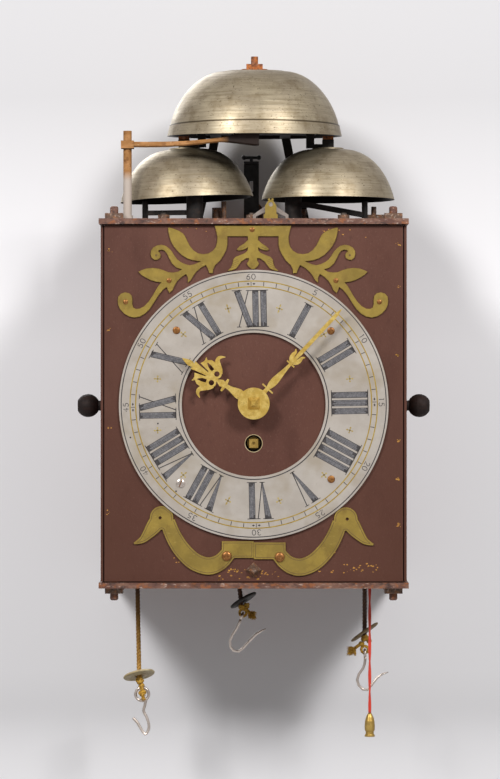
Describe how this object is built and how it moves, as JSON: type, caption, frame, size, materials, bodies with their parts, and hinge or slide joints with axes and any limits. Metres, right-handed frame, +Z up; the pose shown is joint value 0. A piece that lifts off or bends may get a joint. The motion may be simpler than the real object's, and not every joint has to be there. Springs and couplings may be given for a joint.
{
  "type": "comtoise wall clock",
  "caption": "Iron-cased wall clock movement with pewter chapter ring, pierced brass dial ornaments, brass hands, bells and hammers on top, side doors, hooks on ropes and a red pull cord",
  "frame": {"origin": "the middle of the hole in the wall bracket, where the clock hangs on its hook", "axes": "+X to the right as seen from the front, +Y to the wall behind, +Z up"},
  "size_m": [0.291, 0.1852, 0.5727],
  "materials": {
    "frame_iron": "worn brown paint over iron, rust at the edges",
    "old_iron": "rusted iron",
    "front_paint": "dull brown-maroon paint, dusty and speckled",
    "turned_wood": "dark polished turning",
    "ring_metal": "dull pewter-coloured metal, engraved and waxed",
    "copper": "copper rivets, dull",
    "aged_brass": "aged brass, brown in the hollows",
    "hand_brass": "polished brass",
    "wheel_brass": "turned brass",
    "bar_iron": "forged iron",
    "steel": "bright steel, spotted",
    "black_iron": "black forged iron",
    "bell_metal": "grey bell metal with turning lines",
    "rope": "twisted hemp",
    "dark_rope": "dark twisted hemp",
    "leather": "pale hard leather",
    "red_silk": "twisted red silk"
  },
  "bodies": {
    "clock_body": {"top_plate": "frame_iron", "bottom_plate": "frame_iron", "corner_posts": "frame_iron", "frame_fixings": "old_iron", "front_plate": "front_paint", "back_plate": "old_iron", "wall_irons": "old_iron", "hinge_pins": "old_iron", "chapter_ring": "ring_metal", "dial_rivets": "copper", "top_ornament": "aged_brass", "left_scroll": "aged_brass", "right_scroll": "aged_brass", "movement_bars": "bar_iron", "anchor_cocks": "aged_brass", "suspension_post": "black_iron", "bell_stand": "black_iron", "bell_bolts": "old_iron", "hour_bell": "bell_metal", "left_bell": "bell_metal", "right_bell": "bell_metal", "strike_rope": "rope", "going_rope": "rope", "quarter_rope": "dark_rope", "rope_discs": "leather", "rope_knots": "rope"},
    "left_door_body": {"left_door": "front_paint", "left_knob": "turned_wood"},
    "right_door_body": {"right_door": "front_paint", "right_knob": "turned_wood"},
    "minute_body": {"centre_wheel": "wheel_brass", "cannon_pinion": "wheel_brass", "minute_hand": "hand_brass", "hand_collet": "hand_brass"},
    "hour_body": {"hour_wheel": "wheel_brass", "hour_hand": "hand_brass"},
    "minute_wheel_body": {"minute_wheel": "wheel_brass"},
    "great_body": {"great_wheel": "wheel_brass", "going_click": "steel"},
    "going_drum_body": {"going_drum": "wheel_brass"},
    "second_body": {"second_wheel": "wheel_brass"},
    "third_body": {"third_wheel": "wheel_brass"},
    "escape_body": {"escape_wheel": "wheel_brass"},
    "anchor_body": {"anchor": "steel", "crutch": "steel"},
    "strike_drum_body": {"strike_drum": "wheel_brass"},
    "strike_pin_body": {"strike_pin_wheel": "wheel_brass"},
    "strike_fly_body": {"strike_fly": "steel"},
    "quarter_drum_body": {"quarter_drum": "wheel_brass"},
    "quarter_pin_body": {"quarter_pin_wheel": "wheel_brass"},
    "quarter_fly_body": {"quarter_fly": "steel"},
    "hour_hammer_body": {"hour_hammer": "old_iron"},
    "left_hammer_body": {"left_hammer": "bar_iron"},
    "right_hammer_body": {"right_hammer": "bar_iron"},
    "left_hook_body": {"left_hook": "steel"},
    "centre_hook_body": {"centre_hook": "steel"},
    "right_hook_body": {"right_hook": "steel"},
    "pull_body": {"pull_cord": "red_silk", "pull_weight": "wheel_brass"},
    "lever_body": {"repeat_lever": "bar_iron"}
  },
  "joints": [
    {"name": "left_door_turn", "type": "hinge", "parent": "clock_body", "child": "left_door_body", "pos_m": [-0.1245, -0.0165, -0.166], "axis": [0, 0, 1], "range_deg": [-100, 0]},
    {"name": "right_door_turn", "type": "hinge", "parent": "clock_body", "child": "right_door_body", "pos_m": [0.1245, -0.0165, -0.166], "axis": [0, 0, 1], "range_deg": [0, 100]},
    {"name": "minute_hand_turn", "type": "hinge", "parent": "clock_body", "child": "minute_body", "pos_m": [0, -0.1645, -0.166], "axis": [0, 1, 0], "continuous": true},
    {"name": "hour_hand_turn", "type": "hinge", "parent": "clock_body", "child": "hour_body", "pos_m": [0, -0.1645, -0.166], "axis": [0, 1, 0], "continuous": true},
    {"name": "minute_wheel_turn", "type": "hinge", "parent": "clock_body", "child": "minute_wheel_body", "pos_m": [0.0122, -0.1645, -0.13859], "axis": [0, 1, 0], "continuous": true},
    {"name": "great_wheel_turn", "type": "hinge", "parent": "clock_body", "child": "great_body", "pos_m": [0, -0.1645, -0.1988], "axis": [0, 1, 0], "continuous": true},
    {"name": "going_winding", "type": "hinge", "parent": "great_body", "child": "going_drum_body", "pos_m": [0, -0.1645, -0.1988], "axis": [0, 1, 0], "continuous": true},
    {"name": "second_wheel_turn", "type": "hinge", "parent": "clock_body", "child": "second_body", "pos_m": [0, -0.1645, -0.133], "axis": [0, 1, 0], "continuous": true},
    {"name": "third_wheel_turn", "type": "hinge", "parent": "clock_body", "child": "third_body", "pos_m": [-0.0044, -0.1645, -0.09788], "axis": [0, 1, 0], "continuous": true},
    {"name": "escape_wheel_turn", "type": "hinge", "parent": "clock_body", "child": "escape_body", "pos_m": [0.014, -0.1645, -0.062], "axis": [0, 1, 0], "continuous": true},
    {"name": "anchor_swing", "type": "hinge", "parent": "clock_body", "child": "anchor_body", "pos_m": [0.014, -0.1645, -0.0025], "axis": [0, 1, 0], "range_deg": [-2.5, 2.5]},
    {"name": "strike_pin_wheel_turn", "type": "hinge", "parent": "clock_body", "child": "strike_pin_body", "pos_m": [-0.0745, -0.1645, -0.1875], "axis": [0, 1, 0], "continuous": true},
    {"name": "strike_drum_turn", "type": "hinge", "parent": "clock_body", "child": "strike_drum_body", "pos_m": [-0.0745, -0.1645, -0.226], "axis": [0, 1, 0], "continuous": true},
    {"name": "strike_fly_turn", "type": "hinge", "parent": "clock_body", "child": "strike_fly_body", "pos_m": [-0.0745, -0.1645, -0.156], "axis": [0, 1, 0], "continuous": true},
    {"name": "quarter_pin_wheel_turn", "type": "hinge", "parent": "clock_body", "child": "quarter_pin_body", "pos_m": [0.0745, -0.1645, -0.1875], "axis": [0, 1, 0], "continuous": true},
    {"name": "quarter_drum_turn", "type": "hinge", "parent": "clock_body", "child": "quarter_drum_body", "pos_m": [0.0745, -0.1645, -0.226], "axis": [0, 1, 0], "continuous": true},
    {"name": "quarter_fly_turn", "type": "hinge", "parent": "clock_body", "child": "quarter_fly_body", "pos_m": [0.0745, -0.1645, -0.156], "axis": [0, 1, 0], "continuous": true},
    {"name": "hour_hammer_turn", "type": "hinge", "parent": "clock_body", "child": "hour_hammer_body", "pos_m": [-0.1045, -0.1385, -0.166], "axis": [0, 0, 1], "range_deg": [-0.75, 12], "stiffness_Nm_per_rad": 0.3},
    {"name": "left_hammer_turn", "type": "hinge", "parent": "clock_body", "child": "left_hammer_body", "pos_m": [-0.0905, -0.1195, -0.166], "axis": [0, 0, 1], "range_deg": [-4, 14], "stiffness_Nm_per_rad": 0.2},
    {"name": "right_hammer_turn", "type": "hinge", "parent": "clock_body", "child": "right_hammer_body", "pos_m": [0.0926, -0.1195, -0.166], "axis": [0, 0, 1], "range_deg": [-14, 3.2], "stiffness_Nm_per_rad": 0.2},
    {"name": "left_hook_swing", "type": "hinge", "parent": "clock_body", "child": "left_hook_body", "pos_m": [-0.094, -0.0925, -0.406], "axis": [0, 1, 0], "range_deg": [-15, 15]},
    {"name": "centre_hook_swing", "type": "hinge", "parent": "clock_body", "child": "centre_hook_body", "pos_m": [-0.009, -0.0925, -0.343], "axis": [0, 1, 0], "range_deg": [-15, 15]},
    {"name": "right_hook_swing", "type": "hinge", "parent": "clock_body", "child": "right_hook_body", "pos_m": [0.0936, -0.0925, -0.374], "axis": [0, 1, 0], "range_deg": [-15, 15]},
    {"name": "cord_pull", "type": "slide", "parent": "clock_body", "child": "pull_body", "axis": [0, 0, -1], "range_m": [0, 0.016], "stiffness_N_per_m": 40, "springref_m": -0.01},
    {"name": "repeat_lever_turn", "type": "hinge", "parent": "clock_body", "child": "lever_body", "pos_m": [0.016, -0.1245, -0.29], "axis": [0, 1, 0], "range_deg": [0, 11.6]}
  ],
  "couplings": [
    {"joint": "hour_hand_turn", "follows": "minute_hand_turn", "ratio": 0.083333},
    {"joint": "minute_wheel_turn", "follows": "minute_hand_turn", "ratio": -0.33333},
    {"joint": "great_wheel_turn", "follows": "minute_hand_turn", "ratio": -0.14286},
    {"joint": "second_wheel_turn", "follows": "minute_hand_turn", "ratio": -5},
    {"joint": "third_wheel_turn", "follows": "minute_hand_turn", "ratio": 20},
    {"joint": "escape_wheel_turn", "follows": "minute_hand_turn", "ratio": -60},
    {"joint": "strike_drum_turn", "follows": "strike_pin_wheel_turn", "ratio": -0.16667},
    {"joint": "strike_fly_turn", "follows": "strike_pin_wheel_turn", "ratio": -8},
    {"joint": "quarter_drum_turn", "follows": "quarter_pin_wheel_turn", "ratio": -0.16667},
    {"joint": "quarter_fly_turn", "follows": "quarter_pin_wheel_turn", "ratio": -8},
    {"joint": "repeat_lever_turn", "follows": "cord_pull", "rad_per_m": 12.59}
  ]
}
